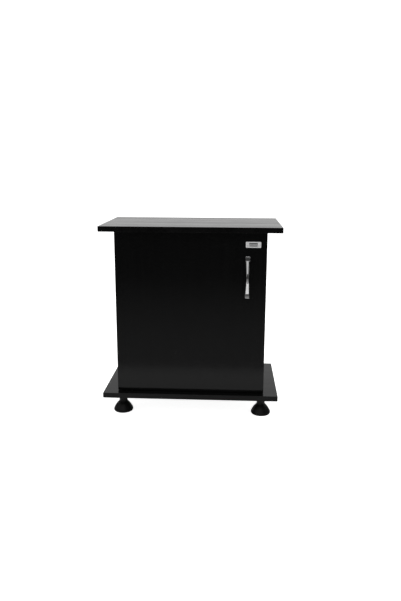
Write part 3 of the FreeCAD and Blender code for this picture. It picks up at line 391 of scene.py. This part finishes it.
def make_materials():
    """{name: (material, record slot)} for every finish of the stand."""
    made = {}
    for kind, (flat, grain) in BOARD_KINDS.items():
        board = laminate(f"black_melamine_{kind}", flat, grain)
        made[f"laminate_{kind}"] = (board, "black_melamine")
    for grain in "XZ":
        made[f"band_{grain}"] = (edge_band(f"black_edge_band_{grain}", grain), "black_edge_band")
    made["hardboard"] = (hardboard("hardboard"), "hardboard")
    plastics = (
        # slot, dark, light, roughness, depth of the texture, IOR
        ("black_moulding", grey(0.006), grey(0.010), 0.42, 0.03 * MM, 1.45),
        ("foot_plastic", grey(0.0030), grey(0.0054), 0.34, 0.02 * MM, 1.33),
        ("rubber_pad", grey(0.012), grey(0.022), 0.74, 0.06 * MM, 1.5),
        ("nylon", (0.70, 0.68, 0.62, 1), (0.78, 0.76, 0.70, 1), 0.40, 0.02 * MM, 1.53),
    )
    for slot, *looks in plastics:
        made[slot] = (moulded(slot, *looks), slot)
    made["ferrite"] = (ferrite("ferrite"), "ferrite")
    made["beech"] = (beech("beech"), "beech")
    metals = (
        # slot, dark, light, roughness, depth and scale of the texture, spread of roughness, metallic
        ("chrome_plate", grey(0.70), grey(0.78),
         0.09, 0.0004 * MM, 900, 0.03, 1),
        ("nickel_steel", (0.58, 0.56, 0.52, 1), (0.68, 0.66, 0.61, 1),
         0.26, 0.004 * MM, 900, 0.06, 1),
        ("zinc_steel", (0.52, 0.54, 0.56, 1), (0.66, 0.68, 0.70, 1),
         0.34, 0.008 * MM, 1500, 0.08, 1),
        ("zinc_casting", (0.40, 0.40, 0.41, 1), (0.54, 0.54, 0.55, 1),
         0.46, 0.03 * MM, 1100, 0.06, 1),
        ("satin_silver", grey(0.74), grey(0.84),
         0.40, 0.006 * MM, 1200, 0.05, SILVER_METALLIC),
        ("brushed_silver", grey(0.67), grey(0.80),
         0.42, 0.010 * MM, (60, 3200, 3200), 0.05, SILVER_METALLIC),
    )
    for slot, *looks in metals:
        made[slot] = (metal(slot, *looks), slot)
    return made


FINISHES = {
    "laminate_top": ("top_board", "base_board", "shelf"),
    "laminate_side": ("side_panel_left", "side_panel_right"),
    "laminate_front": ("door_panel",),
    "laminate_rail": ("rear_stretcher",),
    "band_X": ("top_board_edging", "base_board_edging", "shelf_edging"),
    "band_Z": ("side_panel_left_edging", "side_panel_right_edging", "door_panel_edging"),
    "hardboard": ("back_panel",),
    "black_moulding": ("hose_port_trim", "pivot_bush_upper", "pivot_bush_lower"),
    "foot_plastic": ("foot_front_left", "foot_rear_left", "foot_front_right", "foot_rear_right"),
    "rubber_pad": ("foot_pads", "door_bumpers"),
    "nylon": ("catch_housing",),
    "ferrite": ("catch_magnet",),
    "beech": ("dowels",),
    "chrome_plate": ("handle",),
    "nickel_steel": (
        "pivot_plate_upper", "pivot_plate_lower", "strike_plate", "catch_pole_plates",
        "shelf_pins",
    ),
    "zinc_steel": (
        "cam_bolts", "back_panel_screws", "pivot_plate_screws", "handle_screws",
        "catch_screws", "strike_screw", "foot_bolts",
    ),
    "zinc_casting": ("cam_housings", "threaded_inserts"),
    "satin_silver": ("label_plate_frame",),
    "brushed_silver": ("label_plate_insert",),
}


def dress_nodes(finishes):
    for finish, names in FINISHES.items():
        material, slot = finishes[finish]
        for name in names:
            piece = NODES[name]
            piece.data.materials.clear()
            piece.data.materials.append(material)


# ------------------------------------------------------------------ rounded edges

ARRIS = 0.8 * MM  # rounding of the edges that stand free
SEAM = 0.12 * MM  # rounding of the edges between a board and its band
TOUCH = 0.02 * MM  # a point this near a side of its box lies on it
WELD_REACH = 0.001 * MM
SMOOTH_ANGLE = math.radians(30)
BEVEL_ANGLE = math.radians(40)


def smooth_by_angle():
    """A geometry group that shades smooth and keeps edges over SMOOTH_ANGLE sharp."""
    tree = bpy.data.node_groups.new("smooth_by_angle", "GeometryNodeTree")
    tree.interface.new_socket("Mesh", in_out="INPUT", socket_type="NodeSocketGeometry")
    tree.interface.new_socket("Mesh", in_out="OUTPUT", socket_type="NodeSocketGeometry")
    start = tree.nodes.new("NodeGroupInput")
    end = tree.nodes.new("NodeGroupOutput")
    faces = tree.nodes.new("GeometryNodeSetShadeSmooth")
    edges = tree.nodes.new("GeometryNodeSetShadeSmooth")
    edges.domain = "EDGE"
    angle = tree.nodes.new("GeometryNodeInputMeshEdgeAngle")
    gentle = tree.nodes.new("FunctionNodeCompare")
    gentle.operation = "LESS_THAN"
    gentle.inputs[1].default_value = SMOOTH_ANGLE
    tree.links.new(start.outputs[0], faces.inputs["Geometry"])
    tree.links.new(faces.outputs[0], edges.inputs["Geometry"])
    tree.links.new(angle.outputs["Unsigned Angle"], gentle.inputs[0])
    tree.links.new(gentle.outputs[0], edges.inputs["Shade Smooth"])
    tree.links.new(edges.outputs[0], end.inputs[0])
    return tree


def sides_touched(point, low, high):
    """The outer sides of a box that a point lies on, as (axis, end) pairs."""
    found = set()
    for axis in range(3):
        if abs(point[axis] - low[axis]) < TOUCH:
            found.add((axis, 0))
        if abs(point[axis] - high[axis]) < TOUCH:
            found.add((axis, 1))
    return found


def weigh_edges(name, proud, seam_share):
    """Bevel weights for the twelve outer edges of a node: 1 on a proud side, and less elsewhere."""
    mesh = NODES[name].data
    low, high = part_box(name)
    weights = mesh.attributes.new("bevel_weight_edge", "FLOAT", "EDGE")
    for edge in mesh.edges:
        ends = [mesh.vertices[index].co for index in edge.vertices]
        shared = sides_touched(ends[0], low, high) & sides_touched(ends[1], low, high)
        if len(shared) == 2:
            on_proud = any(side in proud for side in shared)
            weights.data[edge.index].value = 1 if on_proud else seam_share


def finish_edges(name, shading, width=0, proud=None):
    """Welds a node's split corners, rounds its edges and shades it smooth by angle.

    Without proud, every sharp edge is rounded alike. With it, the outer edges on its sides get the
    whole width and the other outer edges get SEAM.
    """
    piece = NODES[name]
    custom = piece.data.attributes.get("custom_normal")
    if custom is not None:
        piece.data.attributes.remove(custom)
    weld = piece.modifiers.new("weld", "WELD")
    weld.merge_threshold = WELD_REACH
    if width:
        bevel = piece.modifiers.new("round", "BEVEL")
        bevel.width = width
        bevel.use_clamp_overlap = False
        if proud is None:
            bevel.segments = 2
            bevel.limit_method = "ANGLE"
            bevel.angle_limit = BEVEL_ANGLE
        else:
            bevel.segments = 3
            weigh_edges(name, proud, SEAM / width)
            bevel.limit_method = "WEIGHT"
    shade = piece.modifiers.new("shade", "NODES")
    shade.node_group = shading
    if width:
        flats = piece.modifiers.new("flats", "WEIGHTED_NORMAL")
        flats.keep_sharp = True


# outer sides that stand free, as (axis, end) pairs
AROUND = {
    "flat": {(0, 0), (0, 1), (1, 0), (1, 1)},
    "upright": {(0, 0), (0, 1), (2, 0), (2, 1)},
    "front": {(1, 0)},
}
BANDS = {
    "top_board_edging": "flat",
    "base_board_edging": "flat",
    "door_panel_edging": "upright",
    "side_panel_left_edging": "front",
    "side_panel_right_edging": "front",
    "shelf_edging": "front",
}
CORES = (
    "top_board", "base_board", "door_panel", "side_panel_left", "side_panel_right", "shelf",
    "rear_stretcher", "back_panel",
)
SMALL_BEVELS = {
    "catch_magnet": 0.2 * MM,
    "catch_pole_plates": 0.15 * MM,
}


def round_edges():
    shading = smooth_by_angle()
    for name, where in BANDS.items():
        finish_edges(name, shading, ARRIS, AROUND[where])
    for name in CORES:
        finish_edges(name, shading, SEAM, set())
    for name in NODES:
        if name not in BANDS and name not in CORES:
            finish_edges(name, shading, SMALL_BEVELS.get(name, 0))


# ------------------------------------------------------------------ printed rules of the label

RULE_HEIGHT = 0.12 * MM
RULE_ROOT = 0.05 * MM  # how deep a rule sits in the plate, and the width of its chamfer
RULES = (
    # height above the middle of the insert, length, thickness
    (4.3 * MM, 29 * MM, 3.0 * MM),
    (0.9 * MM, 29 * MM, 1.6 * MM),
    (-2.3 * MM, 28 * MM, 1.8 * MM),
    (-5.4 * MM, 27 * MM, 1.4 * MM),
)
RULE_CORNER_STEPS = 4


def rounded_bar(mesh, centre, length, thickness, back, front):
    """A flat bar across X with half-round ends and a chamfered front."""
    rings = []
    radius = thickness / 2
    for y, inset in ((back, 0), (front + RULE_ROOT, 0), (front, RULE_ROOT)):
        ring = []
        for side in (1, -1):
            for step in range(2 * RULE_CORNER_STEPS + 1):
                angle = math.pi * (step / (2 * RULE_CORNER_STEPS) - 0.5)
                reach = radius - inset
                x = centre.x + side * (length / 2 - radius + reach * math.cos(angle))
                z = centre.z + side * reach * math.sin(angle)
                ring.append(mesh.verts.new((x, y, z)))
        rings.append(ring)
    count = len(rings[0])
    for near, far in zip(rings, rings[1:]):
        for index in range(count):
            follower = (index + 1) % count
            mesh.faces.new((near[index], near[follower], far[follower], far[index]))
    mesh.faces.new(rings[-1])
    mesh.faces.new(list(reversed(rings[0])))


def make_label_rules(material):
    """Plain printed rules in place of lettering."""
    low, high = (Vector(corner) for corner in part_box("label_plate_insert"))
    middle = (low + high) / 2
    mesh = bmesh.new()
    for rise, length, thickness in RULES:
        centre = Vector((middle.x, low.y, middle.z + rise))
        rounded_bar(mesh, centre, length, thickness, low.y + RULE_ROOT, low.y - RULE_HEIGHT)
    bmesh.ops.recalc_face_normals(mesh, faces=mesh.faces)
    data = bpy.data.meshes.new("label_rules")
    mesh.to_mesh(data)
    mesh.free()
    data.materials.append(material)
    piece = bpy.data.objects.new("label_rules", data)
    scene.collection.objects.link(piece)
    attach(piece, "door")


# ------------------------------------------------------------------ studio

ROOM_LIGHT = 0.61
HORIZON_LIGHT = 0.745
HORIZON_RISE = (0.12, 0.34)  # sines of the elevations between which one fades into the other
CAMERA_WHITE = 1.15

FLOOR_HALF = 30
FLOOR_ALBEDO = 0.94
FLOOR_LIFT = 0.9

FLAG_HALF = 3
FLAG_NEAR = -0.62
FLAG_FAR = -3.4
FLAG_RISE = 0.003
FLAG_WALL_TOP = 1.45
FLAG_FADE = (-1.0, -2.7)
FLAG_FLOOR_GLOW = (0.37, 0.04)
FLAG_WALL_GLOW = 0.05
SIDE_FLAGS = (
    # name, x, y of both ends, z of the foot and the top, glow
    ("flag_left", -1.1, -1.2, 1.2, 0, 0.45, 0.03),
    ("flag_right", 1.1, -1.2, 1.2, 0, 0.45, 0.03),
    ("flag_high_left", -1.6, FLAG_FAR, 0, 0.45, 3.2, 0.3),
    ("flag_high_right", 1.6, FLAG_FAR, 0, 0.45, 3.2, 0.03),
)

LIGHT_TARGET = (0, 0, 0.35)
SOFT_BOXES = (
    # name, place, width and height, watts
    ("overhead_box", (0, -0.3, 2.6), (1.8, 1.4), 22),
    ("left_box", (-2.6, -1.2, 1.5), (1.2, 1.6), 8),
    ("right_box", (2.6, -0.8, 1.6), (1.2, 1.6), 8),
)


def glow(name, strength, far_strength=None):
    """An even glow, or one that fades to far_strength across FLAG_FADE."""
    graph = Graph(name)
    level = strength
    if far_strength is not None:
        split = graph.node("ShaderNodeSeparateXYZ", {"Vector": graph.place["Object"]})
        level = graph.remap(split.outputs["Y"], *FLAG_FADE, strength, far_strength)
    shine = graph.node("ShaderNodeEmission", {"Color": grey(1), "Strength": level})
    output = graph.node("ShaderNodeOutputMaterial")
    graph.links.new(shine.outputs[0], output.inputs["Surface"])
    return graph.material


def sheet_piece(name, corners, material):
    mesh = bpy.data.meshes.new(name)
    mesh.from_pydata(corners, [], [range(len(corners))])
    piece = bpy.data.objects.new(name, mesh)
    mesh.materials.append(material)
    scene.collection.objects.link(piece)
    return piece


def level_sheet(half, near, far, height):
    """Corners of a level rectangle, 2 * half wide, from y = far to y = near."""
    return [(-half, far, height), (half, far, height), (half, near, height), (-half, near, height)]


def make_floor():
    """A wide pale floor that glows enough to meet the white background without a line."""
    graph = Graph("studio_floor")
    matt = graph.node("ShaderNodeBsdfDiffuse", {"Color": grey(FLOOR_ALBEDO)})
    shine = graph.node("ShaderNodeEmission", {"Color": grey(1), "Strength": FLOOR_LIFT})
    to_camera = graph.node("ShaderNodeLightPath").outputs["Is Camera Ray"]
    lifted = graph.node("ShaderNodeAddShader")
    graph.links.new(matt.outputs[0], lifted.inputs[0])
    graph.links.new(shine.outputs[0], lifted.inputs[1])
    choice = graph.node("ShaderNodeMixShader", {"Fac": to_camera})
    graph.links.new(matt.outputs[0], choice.inputs[1])
    graph.links.new(lifted.outputs[0], choice.inputs[2])
    output = graph.node("ShaderNodeOutputMaterial")
    graph.links.new(choice.outputs[0], output.inputs["Surface"])
    corners = level_sheet(FLOOR_HALF, FLOOR_HALF, -FLOOR_HALF, 0)
    sheet_piece("studio_floor", corners, graph.material)


def flag_card(name, corners, material):
    """A card that only reflections see."""
    card = sheet_piece(name, corners, material)
    card.visible_camera = False
    card.visible_diffuse = False
    card.visible_shadow = False
    card.visible_transmission = False
    card.visible_volume_scatter = False


def make_flags():
    """Dark cards that keep the black front and feet black and give the chrome its dark edges."""
    floor = level_sheet(FLAG_HALF, FLAG_NEAR, FLAG_FAR, FLAG_RISE)
    flag_card("flag_floor", floor, glow("flag_floor", *FLAG_FLOOR_GLOW))
    wall = [
        (-FLAG_HALF, FLAG_FAR, 0), (FLAG_HALF, FLAG_FAR, 0),
        (FLAG_HALF, FLAG_FAR, FLAG_WALL_TOP), (-FLAG_HALF, FLAG_FAR, FLAG_WALL_TOP),
    ]
    flag_card("flag_wall", wall, glow("flag_wall", FLAG_WALL_GLOW))
    for name, x, start, end, foot, top, strength in SIDE_FLAGS:
        corners = [(x, start, foot), (x, end, foot), (x, end, top), (x, start, top)]
        flag_card(name, corners, glow(name, strength))


def make_world():
    """White to the camera, and a softer even light on everything else."""
    world = bpy.data.worlds.new("studio")
    world.use_nodes = True
    tree = world.node_tree
    tree.nodes.clear()
    path = tree.nodes.new("ShaderNodeLightPath")
    place = tree.nodes.new("ShaderNodeTexCoord")
    split = tree.nodes.new("ShaderNodeSeparateXYZ")
    height = tree.nodes.new("ShaderNodeMapRange")
    fade = (*HORIZON_RISE, HORIZON_LIGHT, ROOM_LIGHT)
    for socket, value in zip(("From Min", "From Max", "To Min", "To Max"), fade):
        height.inputs[socket].default_value = value
    tree.links.new(place.outputs["Generated"], split.inputs[0])
    tree.links.new(split.outputs["Z"], height.inputs["Value"])
    level = tree.nodes.new("ShaderNodeMapRange")
    level.inputs["To Max"].default_value = CAMERA_WHITE
    tree.links.new(height.outputs["Result"], level.inputs["To Min"])
    background = tree.nodes.new("ShaderNodeBackground")
    background.inputs["Color"].default_value = grey(1)
    output = tree.nodes.new("ShaderNodeOutputWorld")
    tree.links.new(path.outputs["Is Camera Ray"], level.inputs["Value"])
    tree.links.new(level.outputs["Result"], background.inputs["Strength"])
    tree.links.new(background.outputs[0], output.inputs["Surface"])
    scene.world = world


def soft_box(name, place, size, power):
    data = bpy.data.lights.new(name, "AREA")
    data.shape = "RECTANGLE"
    data.size, data.size_y = size
    data.energy = power
    light = bpy.data.objects.new(name, data)
    light.location = place
    aim = Vector(LIGHT_TARGET) - Vector(place)
    light.rotation_euler = aim.to_track_quat("-Z", "Y").to_euler()
    scene.collection.objects.link(light)


def make_studio():
    make_world()
    make_floor()
    make_flags()
    for box in SOFT_BOXES:
        soft_box(*box)
    scene.view_settings.view_transform = "Standard"


make_camera()
make_studio()
finishes = make_materials()
dress_nodes(finishes)
round_edges()
make_label_rules(finishes["black_moulding"][0])
